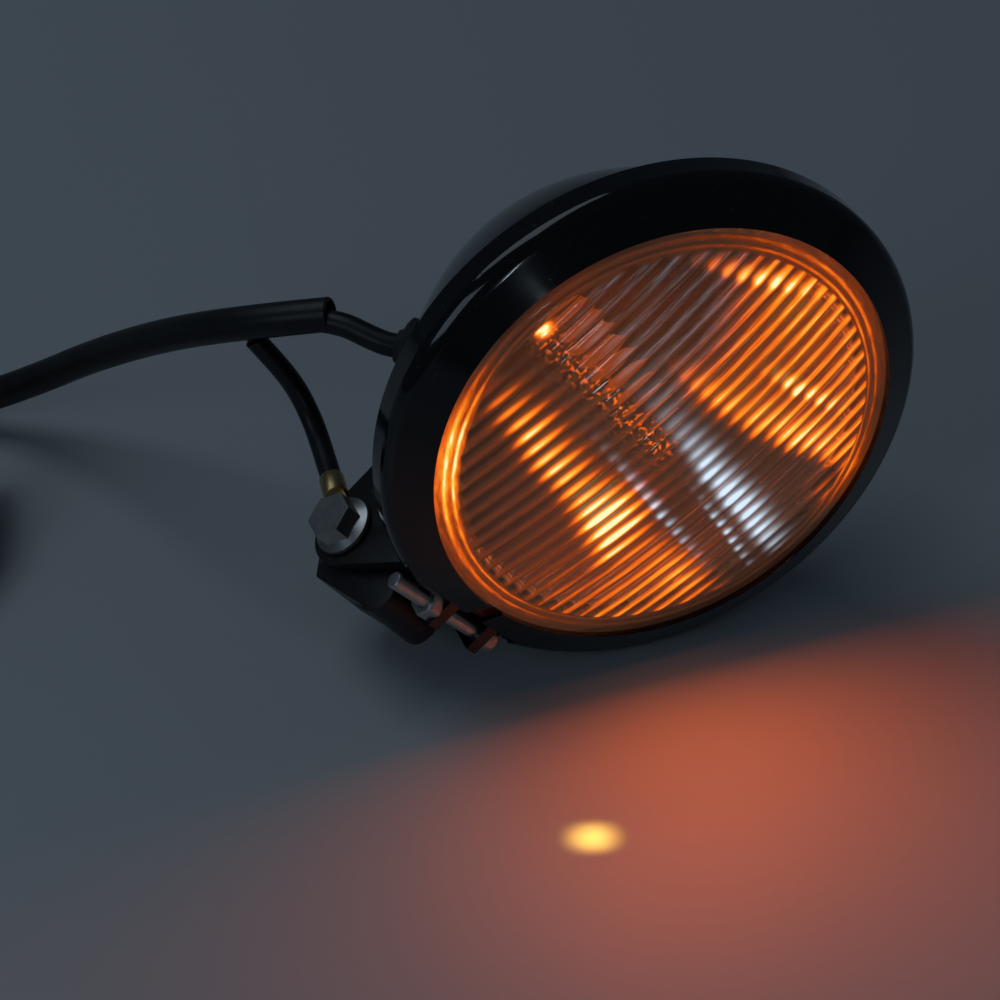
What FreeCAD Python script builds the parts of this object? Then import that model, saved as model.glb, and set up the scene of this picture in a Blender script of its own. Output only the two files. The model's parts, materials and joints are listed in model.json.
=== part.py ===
import FreeCAD, Part
import math
import os
import re
import Sketcher
from FreeCAD import Placement, Rotation, Vector

# A round bucket lamp lying on its side. Every piece is drawn in the lamp's own frame: x across,
# y back from the front edge of the trim rim, z away from the mount, with the optical axis at
# x = z = 0. lamp_place() lays the lamp down. The leads are drawn where they lie on the floor.

DIMS = {
    # trim rim, a rolled steel band split near its lowest point
    "rim_lip": 53.0,
    "rim_out": 62.4,
    "rim_deep": 13.0,
    "rim_wall": 1.2,
    "rim_split_angle": 4.6,
    "split_half": 2.5,
    "notch_half": 15.0,
    "notch_low": 58.35,
    "lug_near": 5.0,
    "lug_wall": 3.0,
    "lug_top": 57.9,
    "lug_low": 65.4,
    # clamp screw across the split, and its nut
    "screw_back": 6.6,
    "screw_drop": 61.9,
    "screw_hole": 2.2,
    "screw_shank": 2.0,
    "screw_head": 3.5,
    "screw_tail": 21.5,
    "seat_gap": 0.06,
    "nut_thick": 3.2,
    "nut_flats": 7.0,
    # pressed glass lens
    "glass_out": 57.0,
    "flute_field": 47.5,
    "dome": 220.0,
    "dome_front": 5.2,
    "glass_wall": 4.0,
    "glass_back": 7.0,
    # reflector, a paraboloid with a neck for the bulb
    "mirror_focus": 20.0,
    "mirror_vertex": 44.65,
    "mirror_neck": 9.0,
    "mirror_wall": 1.0,
    "neck_rim": 13.0,
    "neck_back": 47.0,
    "bulb_glass": 5.5,
    "bulb_tip": 20.0,
    # spun bucket, a large arc closed by a small nose arc
    "bowl_arc": 98.0,
    "bowl_ahead": 10.5,
    "bowl_under": 39.0,
    "nose_arc": 20.0,
    "bowl_start": 13.0,
    "bowl_wall": 1.2,
    "flange_out": 60.4,
    "flange_gap_half": 15.0,
    "flange_gap_top": 56.8,
    # clevis and the bolts that hold it under the bucket
    "ear_half": 12.0,
    "ear_wall": 2.8,
    "ear_lobe": 9.0,
    "saddle": 3.0,
    "bolt_ahead": 20.0,
    "bolt_behind": 40.0,
    "clevis_hole": 2.6,
    # tilt pivot and swivel foot
    "pivot_back": 35.0,
    "pivot_drop": 69.0,
    "pivot_hole": 3.15,
    "pivot_bore": 3.05,
    "pivot_shank": 3.0,
    "pivot_flange": 7.1,
    "pivot_flats": 10.0,
    "foot_half": 8.4,
    "stud_back": 23.0,
    "stud_drop": 77.95,
    "stud_slope": 20.35,
    "stud_hole": 3.4,
    "stud_deep": 11.0,
    # grommet in the bowl and the leads
    "grommet_back": 47.0,
    "grommet_turn": 228.0,
    "grommet_hole": 5.2,
    "neck_out": 4.6,
    "lead_a": 5.5,
    "lead_b": 5.0,
    "inner_wire": 2.6,
    "barrel_start": 10.4,
    "barrel_end": 16.5,
    "barrel_lift": 9.0,
    # sleeve, its coil on the floor and the connector on the coil
    "sleeve": 8.0,
    "sleeve_high": 4.1,
    "coil_turn": 44.0,
    "coil_x": -179.0,
    "coil_y": 69.0,
    "coil_entry": 28.0,
    "climb_turn": 35.0,
    "connector_turn": 20.0,
    "connector_long": 24.0,
    "connector_high": 8.6,
    # how the lamp lies
    "lie_roll": 53.0,
    "lie_x": 4.1,
    "lie_y": -35.9,
    "lie_z": 62.4,
}

doc = FreeCAD.newDocument("bucket_lamp")
sheet = doc.addObject("Spreadsheet::Sheet", "dims")
for row, (alias, number) in enumerate(DIMS.items(), start=1):
    sheet.set(f"A{row}", alias)
    sheet.set(f"B{row}", str(number))
    sheet.setAlias(f"B{row}", alias)
doc.recompute()

nodes = []


def bound(text):
    """The text of a size as an expression on the sheet's cells."""
    return re.sub(r"[a-z_]\w*", lambda word: ("dims." if word[0] in DIMS else "") + word[0], str(text))


def size(text):
    """The present value of a size."""
    return float(sheet.evalExpression(bound(text)))


def lamp_place():
    """The lamp's frame in the row's: rolled about its optical axis onto the rim and the pivot bolt's end."""
    roll = Rotation(Vector(0, 1, 0), size("lie_roll"))
    return Placement(Vector(size("lie_x"), size("lie_y"), size("lie_z")), roll)


def in_lamp(x=0, y=0, z=0, axis=(0, 1, 0), angle=0):
    """A place in the lamp's frame, as a Placement in the row's."""
    return lamp_place() * Placement(Vector(x, y, z), Rotation(Vector(*axis), angle))


def new_body(name, place=None):
    body = doc.addObject("PartDesign::Body", name)
    body.Label = name
    body.Placement = place or in_lamp()
    nodes.append(body)
    return body


def pin_point(sketch, edge, end, x, y):
    """Holds one end of an edge at x, y, each a text of the sheet's sizes."""
    for text, kind, axis in ((x, "DistanceX", -2), (y, "DistanceY", -1)):
        if abs(size(text)) < 1e-9:
            sketch.addConstraint(Sketcher.Constraint("PointOnObject", edge, end, axis))
        else:
            number = sketch.addConstraint(Sketcher.Constraint(kind, edge, end, size(text)))
            sketch.setExpression(f"Constraints[{number}]", bound(text))


def pin_radius(sketch, edge, radius):
    number = sketch.addConstraint(Sketcher.Constraint("Radius", edge, size(radius)))
    sketch.setExpression(f"Constraints[{number}]", bound(radius))


def arc_edge(a, b, radius, side):
    """The shorter arc from a to b with its centre on the left (1) or right (-1) of the way."""
    half = (b - a) * 0.5
    off = math.sqrt(radius**2 - half.Length**2) * side
    middle = a + half + Vector(-half.y, half.x, 0).normalize() * off
    ends = (a, b) if side > 0 else (b, a)
    start, stop = (math.atan2(p.y - middle.y, p.x - middle.x) for p in ends)
    return Part.ArcOfCircle(Part.Circle(middle, Vector(0, 0, 1), radius), start, stop)


def add_loop(sketch, corners):
    """A closed outline. A corner is (x, y), or (x, y, radius, side) where an arc leads on from it."""
    first = sketch.GeometryCount
    for here, there in zip(corners, corners[1:] + corners[:1]):
        a, b = (Vector(size(p[0]), size(p[1]), 0) for p in (here, there))
        edge = arc_edge(a, b, size(here[2]), here[3]) if len(here) == 4 else Part.LineSegment(a, b)
        sketch.addGeometry(edge)
    for i, here in enumerate(corners):
        before = corners[i - 1]
        start = 2 if len(here) == 4 and here[3] < 0 else 1
        last = 1 if len(before) == 4 and before[3] < 0 else 2
        previous = first + (i - 1) % len(corners)
        sketch.addConstraint(Sketcher.Constraint("Coincident", previous, last, first + i, start))
        pin_point(sketch, first + i, start, here[0], here[1])
        if len(here) == 4:
            pin_radius(sketch, first + i, here[2])


def new_sketch(body, role, loops=(), circles=(), offset=None):
    sketch = body.newObject("Sketcher::SketchObject", body.Name + "_sketch")
    origin_plane = next(part for part in body.Origin.OriginFeatures if part.Role == role)
    sketch.AttachmentSupport = [(origin_plane, "")]
    sketch.MapMode = "FlatFace"
    if offset is not None:
        sketch.AttachmentOffset = offset
    doc.recompute()
    for loop in loops:
        add_loop(sketch, loop)
    for x, y, radius in circles:
        number = sketch.addGeometry(Part.Circle(Vector(size(x), size(y), 0), Vector(0, 0, 1), size(radius)))
        pin_point(sketch, number, 3, x, y)
        pin_radius(sketch, number, radius)
    return sketch


def turned(body, outline, axis="V_Axis", cut=False):
    """A full turn of an outline about an axis of its sketch, added or cut away."""
    sketch = new_sketch(body, "XY_Plane", [outline])
    feature = body.newObject("PartDesign::Groove" if cut else "PartDesign::Revolution", body.Name + "_turn")
    feature.Profile = sketch
    feature.ReferenceAxis = (sketch, [axis])
    feature.Angle = 360


def padded(body, role, length, loops=(), circles=(), offset=None):
    """An outline given a thickness, even about its plane."""
    feature = body.newObject("PartDesign::Pad", body.Name + "_pad")
    feature.Profile = new_sketch(body, role, loops, circles, offset)
    feature.SideType = "Symmetric"
    feature.setExpression("Length", bound(length))


def cut_out(body, role, length, loops=(), circles=(), offset=None, one_way=False):
    """An outline cut to a depth, even about its plane or one way from it."""
    doc.recompute()
    before = body.Shape.Volume
    feature = body.newObject("PartDesign::Pocket", body.Name + "_cut")
    feature.Profile = new_sketch(body, role, loops, circles, offset)
    feature.SideType = "One side" if one_way else "Symmetric"
    feature.setExpression("Length", bound(length))
    doc.recompute()
    if body.Shape.Volume > before - 0.01:
        raise ValueError(f"{body.Label}: a cut removes nothing")


def box_loop(x0, y0, x1, y1):
    return [(x0, y0), (x1, y0), (x1, y1), (x0, y1)]


def hexagon(flats):
    """A hexagon about the sketch's origin."""
    far = f"{flats} / sqrt(3)"
    near = f"{flats} / sqrt(3) / 2"
    half = f"{flats} / 2"
    upper = [(far, "0"), (near, half), (f"-{near}", half)]
    lower = [(f"-{far}", "0"), (f"-{near}", f"-{half}"), (near, f"-{half}")]
    return upper + lower


def feature_node(name, shape, place=None):
    """A piece whose shape is made from the sheet's sizes with Part's own functions."""
    node = doc.addObject("Part::Feature", name)
    node.Label = name
    node.Shape = shape
    node.Placement = place or Placement()
    nodes.append(node)
    return node


def bowl_radius(inset, back):
    """The bowl's radius at a distance back, for its outside (inset 0) or its inside."""
    return f"(sqrt((bowl_arc - {inset})^2 - ({back} + bowl_ahead)^2) - bowl_under)"


def bowl_outline(inset):
    """Half the bowl's outline: front edge, joint of the two arcs, and nose."""
    spread = "(bowl_arc - nose_arc)"
    centre = f"(sqrt({spread}^2 - bowl_under^2) - bowl_ahead)"
    joint_radius = f"(nose_arc - {inset}) * bowl_under / {spread}"
    joint_back = f"{centre} + (nose_arc - {inset}) * sqrt(1 - (bowl_under / {spread})^2)"
    return [
        (bowl_radius(inset, "bowl_start"), "bowl_start", f"bowl_arc - {inset}", 1),
        (joint_radius, joint_back, f"nose_arc - {inset}", 1),
        ("0", f"{centre} + nose_arc - {inset}"),
    ]


def bowl_normal(back, turn=270.0):
    """A frame on the bowl's outside whose z axis points out of it, at a turn about the optical axis."""
    lean = math.degrees(math.asin((back + size("bowl_ahead")) / size("bowl_arc")))
    radius = size(bowl_radius("0", str(back)))
    around = math.radians(turn)
    spot = Vector(radius * math.cos(around), back, radius * math.sin(around))
    out = Vector(math.cos(around), 0, math.sin(around)) * math.cos(math.radians(lean))
    out += Vector(0, 1, 0) * math.sin(math.radians(lean))
    return Placement(spot, Rotation(Vector(0, 0, 1), out))


def make_shell():
    body = new_body("bucket_shell")
    wall = bowl_outline("bowl_wall")
    inner = [
        wall[2] + ("nose_arc - bowl_wall", -1),
        wall[1][:2] + ("bowl_arc - bowl_wall", -1),
        wall[0][:2],
    ]
    flange = [
        ("flange_out - bowl_wall", "bowl_start - 2"),
        ("flange_out - bowl_wall", "bowl_start - 4"),
        ("flange_out", "bowl_start - 4"),
        ("flange_out", "bowl_start - 1"),
    ]
    turned(body, bowl_outline("0") + inner + flange)
    for back in ("bolt_ahead", "bolt_behind"):
        cut_out(body, "XY_Plane", "10", circles=[("0", "0", "clevis_hole")], offset=bowl_normal(size(back)))
    grommet = bowl_normal(size("grommet_back"), size("grommet_turn"))
    cut_out(body, "XY_Plane", "10", circles=[("0", "0", "grommet_hole")], offset=grommet)
    # a gap in the flange, round the rim's lugs and their screw
    middle = "screw_drop * sin(rim_split_angle * 1 deg)"
    gap = box_loop(f"{middle} - flange_gap_half", "-80", f"{middle} + flange_gap_half", "-flange_gap_top")
    cut_out(body, "XZ_Plane", "2 * bowl_start - 0.4", [gap])


def make_rim():
    body = new_body("trim_rim", in_lamp(angle=-size("rim_split_angle")))
    turned(body, [
        ("rim_lip", "0"),
        ("rim_out - 2.7", "3.9", "4.4", 1),
        ("rim_out", "7.4"),
        ("rim_out - 0.2", "rim_deep"),
        ("rim_out - 0.2 - rim_wall", "rim_deep"),
        ("rim_out - rim_wall", "7.6", "4.4 - rim_wall", -1),
        ("rim_out - 3.5", "4.8"),
        ("rim_lip", "1.4"),
    ])
    cut_out(body, "XZ_Plane", "40", [box_loop("-notch_half", "-80", "notch_half", "-notch_low")])
    padded(body, "YZ_Plane", "2 * (lug_near + lug_wall)", [box_loop("3.2", "-lug_low", "12.4", "-lug_top")])
    cut_out(body, "YZ_Plane", "2 * lug_near", [box_loop("2", "-lug_low - 1", "14", "-notch_low")])
    cut_out(body, "XZ_Plane", "40", [box_loop("-split_half", "-80", "split_half", "-40")])
    cut_out(body, "YZ_Plane", "40", circles=[("screw_back", "-screw_drop", "screw_hole")])


def on_screw_line(x=0.0):
    """A place on the clamp screw's axis, which lies across the split."""
    turn = in_lamp(angle=-size("rim_split_angle"))
    return turn * Placement(Vector(x, size("screw_back"), -size("screw_drop")), Rotation())


def make_rim_screw():
    """A cheese-head screw with its head on the far lug."""
    body = new_body("rim_screw", on_screw_line())
    seat = "(lug_near + lug_wall + seat_gap)"
    turned(body, [
        ("-screw_tail", "0"),
        ("-screw_tail", "screw_shank - 0.4"),
        ("-screw_tail + 0.4", "screw_shank"),
        (seat, "screw_shank"),
        (seat, "screw_head"),
        (f"{seat} + 2.4", "screw_head"),
        (f"{seat} + 2.9", "screw_head - 0.5"),
        (f"{seat} + 2.9", "0"),
    ], "H_Axis")
    cut_out(body, "XY_Plane", "10", [box_loop(f"{seat} + 1.6", "-0.5", f"{seat} + 5", "0.5")])


def make_rim_nut():
    body = new_body("rim_nut", on_screw_line(-size("lug_near + lug_wall + seat_gap + nut_thick / 2")))
    padded(body, "YZ_Plane", "nut_thick", [hexagon("nut_flats")])
    cut_out(body, "YZ_Plane", "20", circles=[("0", "0", "screw_shank + 0.03")])


def make_lens():
    """Domed glass with a flat stepped border."""
    body = new_body("front_lens")
    turned(body, [
        ("0", "-dome_front", "dome", 1),
        ("flute_field", "flute_field^2 / (2 * dome) - dome_front"),
        ("flute_field + 0.9", "0.9"),
        ("rim_lip", "1.7"),
        ("glass_out", "4.2"),
        ("glass_out", "glass_back"),
        ("flute_field + 1.5", "glass_back"),
        ("flute_field - 1", "4.0", "dome - glass_wall", -1),
        ("0", "glass_wall - dome_front"),
    ])


def make_gasket():
    body = new_body("lens_gasket")
    turned(body, box_loop("glass_out + 0.05", "4.4", "glass_out + 0.85", "glass_back + 1.1"))


def mirror_back(radius, inset="0"):
    """The paraboloid's distance back at a radius."""
    return f"(mirror_vertex + {inset} - ({radius})^2 / (4 * mirror_focus))"


def make_reflector():
    body = new_body("reflector")
    mid = "31"
    edge = "(glass_out - 3)"
    turned(body, [
        ("glass_out", "glass_back + 0.1"),
        ("glass_out", "glass_back + 1.1"),
        (f"{edge} + 1.1", "glass_back + 1.4", "135", 1),
        (f"{mid} + 0.8", mirror_back(mid, "0.6"), "66", 1),
        ("mirror_neck + mirror_wall", mirror_back("mirror_neck", "mirror_wall")),
        ("mirror_neck + mirror_wall", "neck_back - mirror_wall"),
        ("neck_rim", "neck_back - mirror_wall"),
        ("neck_rim", "neck_back"),
        ("mirror_neck", "neck_back"),
        ("mirror_neck", mirror_back("mirror_neck"), "66", -1),
        (mid, mirror_back(mid), "135", -1),
        (edge, mirror_back(edge)),
        (edge, "glass_back + 0.1"),
    ])


def make_clips():
    """Four flat springs that hold the lens and reflector in the rim."""
    start = size("glass_out") - 1.5
    reach = size("rim_out - rim_wall") - 0.4 - start
    clips = []
    for turn in (45, 135, 225, 315):
        plate = Part.makeBox(8, 0.5, reach, Vector(-4, size("glass_back") + 1.45, start))
        plate.rotate(Vector(0, 0, 0), Vector(0, 1, 0), turn)
        clips.append(plate)
    feature_node("retaining_clips", Part.makeCompound(clips), in_lamp())


def make_bulb():
    """A capsule on a flanged base that sits against the reflector's neck, and its blade."""
    glass = new_body("bulb_capsule")
    turned(glass, [
        ("0", "bulb_tip", "bulb_glass", 1),
        ("bulb_glass", "bulb_tip + bulb_glass"),
        ("bulb_glass", "neck_back"),
        ("0", "neck_back"),
    ])
    base = new_body("bulb_base")
    turned(base, [
        ("0", "neck_back"),
        ("neck_rim - 0.5", "neck_back"),
        ("neck_rim - 0.5", "neck_back + 1"),
        ("6.5", "neck_back + 1"),
        ("6.5", "neck_back + 8"),
        ("5.8", "neck_back + 8.7"),
        ("0", "neck_back + 8.7"),
    ])
    blade = doc.addObject("Part::Box", "bulb_blade")
    blade.Label = "bulb_blade"
    blade.setExpression("Length", "6.3")
    blade.setExpression("Width", "8.5")
    blade.setExpression("Height", "0.8")
    blade.Placement = in_lamp(-3.15, size("neck_back") + 8.7, -0.4)
    nodes.append(blade)


def make_bulb_clip():
    """A sprung wire over the bulb's flange, from one hook on the neck round to the other."""
    wire = 0.6
    back = size("neck_back") + 1 + wire
    foot_left, foot_right = Vector(-8.2, back, -6.2), Vector(8.2, back, -6.2)
    left, right = Vector(-8.2, back, 4.0), Vector(8.2, back, 4.0)
    edges = [
        Part.LineSegment(foot_left, left),
        Part.Arc(left, Vector(0, back, 12.2), right),
        Part.LineSegment(right, foot_right),
    ]
    path = Part.Wire([edge.toShape() for edge in edges])
    ring = Part.Wire(Part.Circle(foot_left, Vector(0, 0, 1), wire).toShape())
    feature_node("bulb_clip", path.makePipeShell([ring], True, True), in_lamp())


def make_receptacle():
    """The push-on socket behind the bulb, with a slot for its blade."""
    body = new_body("lead_receptacle", in_lamp(y=size("neck_back")))
    padded(body, "YZ_Plane", "8.4", [box_loop("9.6", "-1.9", "20.5", "1.9")])
    cut_out(body, "YZ_Plane", "6.9", [box_loop("9", "-0.7", "17.8", "0.7")])


def make_grommet():
    """A rubber grommet gripping the bowl's wall, with a tapered neck over the lead."""
    place = in_lamp() * bowl_normal(size("grommet_back"), size("grommet_turn"))
    body = new_body("cable_grommet", place * Placement(Vector(), Rotation(Vector(1, 0, 0), 90)))
    bore = "lead_a / 2"
    turned(body, [
        (bore, "-3.4"),
        ("grommet_hole + 1.6", "-3.4"),
        ("grommet_hole + 1.6", "-bowl_wall - 0.6"),
        ("grommet_hole - 0.05", "-bowl_wall - 0.6"),
        ("grommet_hole - 0.05", "0.5"),
        ("grommet_hole + 1.8", "0.5"),
        ("grommet_hole + 1.8", "2.0"),
        ("grommet_hole + 0.6", "2.9"),
        ("grommet_hole - 0.8", "3.2"),
        (f"{bore} + 0.9", "neck_out"),
        (bore, "neck_out"),
    ])


def seat_line(back, reach):
    """The ends of a flat on the saddle's underside, square to a clevis bolt."""
    lean = math.asin((size(back) + size("bowl_ahead")) / size("bowl_arc"))
    frame = bowl_normal(size(back))
    middle = frame.multVec(Vector(0, 0, size("saddle")))
    along = Vector(0, math.cos(lean), math.sin(lean))
    return [(f"{p.y:.3f}", f"{p.z:.3f}") for p in (middle - along * reach, middle + along * reach)]


def make_clevis():
    """Two ears on a saddle that fits the bowl."""
    body = new_body("mount_clevis")
    padded(body, "YZ_Plane", "2 * ear_half", [[
        ("14", "-30"),
        ("14.2", "-61.4"),
        ("pivot_back - ear_lobe * 0.7", "-pivot_drop - ear_lobe * sqrt(0.51)", "ear_lobe", 1),
        ("pivot_back + ear_lobe", "-pivot_drop"),
        ("45.5", "-56.5"),
        ("49.3", "-54.0"),
        ("52.5", "-49.6"),
        ("50.2", "-46.0"),
        ("50.2", "-30"),
    ]])
    seats = seat_line("bolt_ahead", 7) + seat_line("bolt_behind", 7)
    under = [("4", "-62.6")] + seats + [("62", "-36"), ("62", "-90"), ("4", "-90")]
    cut_out(body, "YZ_Plane", "2 * (ear_half - ear_wall)", [under])
    doc.recompute()
    before = body.Shape.Volume
    turned(body, [("0", "bowl_start")] + bowl_outline("0"), cut=True)
    doc.recompute()
    if body.Shape.Volume > before - 1:
        raise ValueError("the bowl isn't cut out of the clevis")
    cut_out(body, "YZ_Plane", "60", circles=[("pivot_back", "-pivot_drop", "pivot_hole")])
    for back in ("bolt_ahead", "bolt_behind"):
        cut_out(body, "XY_Plane", "16", circles=[("0", "0", "clevis_hole")], offset=bowl_normal(size(back)))


def make_clevis_bolts():
    """Button-head bolts up through the saddle and the bowl, and their nuts inside it."""
    bolts, nuts = [], []
    for back in ("bolt_ahead", "bolt_behind"):
        frame = bowl_normal(size(back))
        seat, shank, head = size("saddle"), size("clevis_hole") - 0.1, 4.3
        inside = 5.4
        bolt = Part.makeCylinder(shank, seat + inside, Vector(0, 0, -inside))
        bolt = bolt.fuse(Part.makeCone(head, head - 1.6, 2.3, Vector(0, 0, seat)))
        hole = Part.makeCylinder(shank, 20, Vector(0, 0, -10))
        nut = Part.makeCylinder(4.6, 3.4, Vector(0, 0, -size("bowl_wall") - 0.3 - 3.4)).cut(hole)
        for group, piece in ((bolts, bolt), (nuts, nut)):
            piece.Placement = frame
            group.append(piece)
    feature_node("clevis_bolts", Part.makeCompound(bolts), in_lamp())
    feature_node("clevis_nuts", Part.makeCompound(nuts), in_lamp())


def make_foot():
    """The swivel block between the ears, with a tapped hole in its sloping underside."""
    body = new_body("mount_foot")
    padded(body, "YZ_Plane", "2 * foot_half", [[
        ("pivot_back + 10.2", "-pivot_drop"),
        ("pivot_back", "-pivot_drop + 9.6"),
        ("pivot_back - 7", "-pivot_drop + 8"),
        ("16.5", "-64.6"),
        ("12.8", "-67.4", "5", 1),
        ("17.0", "-75.7"),
        ("34", "-82"),
        ("44.6", "-75.4"),
    ]])
    cut_out(body, "YZ_Plane", "60", circles=[("pivot_back", "-pivot_drop", "pivot_bore")])
    slope = Rotation(Vector(1, 0, 0), -size("stud_slope"))
    face = Placement(Vector(0, size("stud_back"), -size("stud_drop")), slope)
    cut_out(body, "XY_Plane", "2 * stud_deep", circles=[("0", "0", "stud_hole")], offset=face)


def on_pivot(x=0.0):
    return in_lamp(x, size("pivot_back"), -size("pivot_drop"))


def make_pivot():
    """Flanged bolt, friction washers either side of the foot, and a flanged nut."""
    bolt = new_body("pivot_bolt", on_pivot())
    seat = "(ear_half + 0.8)"
    turned(bolt, [
        (f"-{seat} - 1.9", "0"),
        (f"-{seat} - 1.9", "pivot_flats / 2"),
        (f"-{seat} - 0.9", "pivot_flange"),
        (f"-{seat}", "pivot_flange"),
        (f"-{seat}", "pivot_shank"),
        ("ear_half + 11.6", "pivot_shank"),
        ("ear_half + 12", "pivot_shank - 0.4"),
        ("ear_half + 12", "0"),
    ], "H_Axis")
    head = Placement(Vector(0, 0, -size(f"{seat} + 3.7")), Rotation())
    padded(bolt, "YZ_Plane", "4.6", [hexagon("pivot_flats")], offset=head)
    washers = []
    for side in (-1, 1):
        inner, outer = size("foot_half"), size("ear_half - ear_wall - seat_gap")
        start = Vector(side * (inner + outer) / 2 - (outer - inner) / 2, 0, 0)
        disc = Part.makeCylinder(8.2, outer - inner, start, Vector(1, 0, 0))
        hole = Part.makeCylinder(size("pivot_bore"), 60, Vector(-30, 0, 0), Vector(1, 0, 0))
        washers.append(disc.cut(hole))
    feature_node("friction_washers", Part.makeCompound(washers), on_pivot())
    nut = new_body("pivot_nut", on_pivot(size("ear_half")))
    turned(nut, [
        ("0", "pivot_shank + 0.03"),
        ("0", "pivot_flange"),
        ("0.9", "pivot_flange"),
        ("1.9", "pivot_flats / 2"),
        ("1.9", "pivot_shank + 0.03"),
    ], "H_Axis")
    above = Placement(Vector(0, 0, 3.7), Rotation())
    padded(nut, "YZ_Plane", "4.6", [hexagon("pivot_flats")], offset=above)
    cut_out(nut, "YZ_Plane", "30", circles=[("0", "0", "pivot_shank + 0.03")])


def make_earth_terminal():
    """A ring terminal under the pivot bolt's head, its barrel pointing back along the earth lead."""
    spot = on_pivot(-size("ear_half") - 0.4)
    body = new_body("earth_terminal", spot * Placement(Vector(), Rotation(Vector(1, 0, 0), size("barrel_lift"))))
    padded(body, "YZ_Plane", "0.8", [[
        ("5.0", "-sqrt(5.9^2 - 25)"),
        ("barrel_start + 1", "-2.2"),
        ("barrel_start + 1", "2.2"),
        ("5.0", "sqrt(5.9^2 - 25)", "5.9", 1),
        ("-5.9", "0", "5.9", 1),
    ]])
    turned(body, box_loop("0", "barrel_start", "lead_b / 2 + 0.4", "barrel_end"))
    cut_out(body, "YZ_Plane", "10", circles=[("0", "0", "pivot_hole")])


def cord_wire(points, diameter, name):
    """Straight runs joined by tangent arcs, each as large as its two runs allow."""
    edges = []
    radii = []
    here = points[0]
    for before, corner, after in zip(points, points[1:], points[2:]):
        arrive, leave = (corner - before).normalize(), (after - corner).normalize()
        trim = 0.45 * min((corner - before).Length, (after - corner).Length)
        turn = arrive.getAngle(leave)
        radii.append(trim / math.tan(turn / 2))
        start, end = corner - arrive * trim, corner + leave * trim
        inward = (leave - arrive).normalize()
        middle = corner + inward * (radii[-1] / math.cos(turn / 2) - radii[-1])
        edges += [Part.LineSegment(here, start), Part.Arc(start, middle, end)]
        here = end
    edges.append(Part.LineSegment(here, points[-1]))
    wire = Part.Wire([edge.toShape() for edge in edges])
    print(name, "length", round(wire.Length, 1), "radii in diameters", [round(r / diameter, 1) for r in radii])
    return wire


def make_cord(name, diameter, points):
    """A round tube along a route, its volume compared with its section times its length."""
    wire = cord_wire(points, diameter, name)
    section = Part.Circle(points[0], points[1] - points[0], diameter / 2)
    tube = wire.makePipeShell([Part.Wire(section.toShape())], True, True)
    expected = math.pi * diameter**2 / 4 * wire.Length
    if abs(tube.Volume / expected - 1) > 0.02:
        raise ValueError(f"{name}: the tube's volume is {tube.Volume:.0f}, not {expected:.0f}")
    feature_node(name, tube)


def make_leads():
    """The live lead out of the grommet and the earth lead, both into the end of one sleeve."""
    neck = in_lamp() * bowl_normal(size("grommet_back"), size("grommet_turn"))
    neck_end = neck.multVec(Vector(0, 0, size("neck_out")))
    neck_axis = neck.Rotation.multVec(Vector(0, 0, 1))
    make_cord("lead_branch_a", size("lead_a"), [
        neck_end - neck_axis * 8,
        neck_end + neck_axis * 4,
        Vector(-51.8, 26.3, 68.0),
        Vector(-62.0, 33.6, 66.2),
    ])
    lift = math.radians(size("barrel_lift"))
    barrel = Vector(0, math.cos(lift), math.sin(lift)) * size("barrel_end")
    barrel_mouth = on_pivot(-size("ear_half") - 0.4).multVec(barrel)
    make_cord("lead_branch_b", size("lead_b"), [
        barrel_mouth,
        Vector(-55.6, 22.9, 33.1),
        Vector(-55.6, 30.2, 37.4),
        Vector(-57.6, 34.9, 44.4),
        Vector(-61.5, 36.4, 51.9),
        Vector(-66.2, 38.4, 59.0),
    ])
    make_cord("cable_sleeve", size("sleeve"), [
        Vector(-50.9, 26.9, 69.2),
        Vector(-68.0, 37.5, 64.5),
        Vector(-81.5, 60.0, 50.0),
        Vector(-94.5, 82.0, 33.0),
        Vector(-108.5, 99.0, 17.0),
        Vector(-123.5, 109.0, 7.6),
        Vector(-139.0, size("coil_y + coil_turn"), size("sleeve_high")),
        Vector(size("coil_x + coil_entry"), size("coil_y + coil_turn"), size("sleeve_high")),
    ])


def make_coil():
    """The sleeve's put-away length: one turn on the floor, most of a second on it, and the entry."""
    body = new_body("sleeve_coil", Placement(Vector(size("coil_x"), size("coil_y"), 0), Rotation()))
    outer, inner = "coil_turn + sleeve / 2 + 0.2", "coil_turn - sleeve / 2 - 0.2"
    middle = Placement(Vector(0, 0, size("2 * sleeve_high")), Rotation())
    padded(body, "XY_Plane", "4 * sleeve_high", circles=[("0", "0", outer), ("0", "0", inner)], offset=middle)
    gap = [
        ("0", "0"),
        ("80 * cos(connector_turn * 1 deg)", "-80 * sin(connector_turn * 1 deg)"),
        ("80 * cos(climb_turn * 1 deg)", "80 * sin(climb_turn * 1 deg)"),
    ]
    above = Placement(Vector(0, 0, size("2 * sleeve_high + 20")), Rotation())
    cut_out(body, "XY_Plane", "40", [gap], offset=above)
    entry = Placement(Vector(0, 0, size("coil_entry / 2 + 4")), Rotation())
    padded(body, "YZ_Plane", "coil_entry - 8", circles=[("coil_turn", "sleeve_high", "sleeve / 2")], offset=entry)


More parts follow.
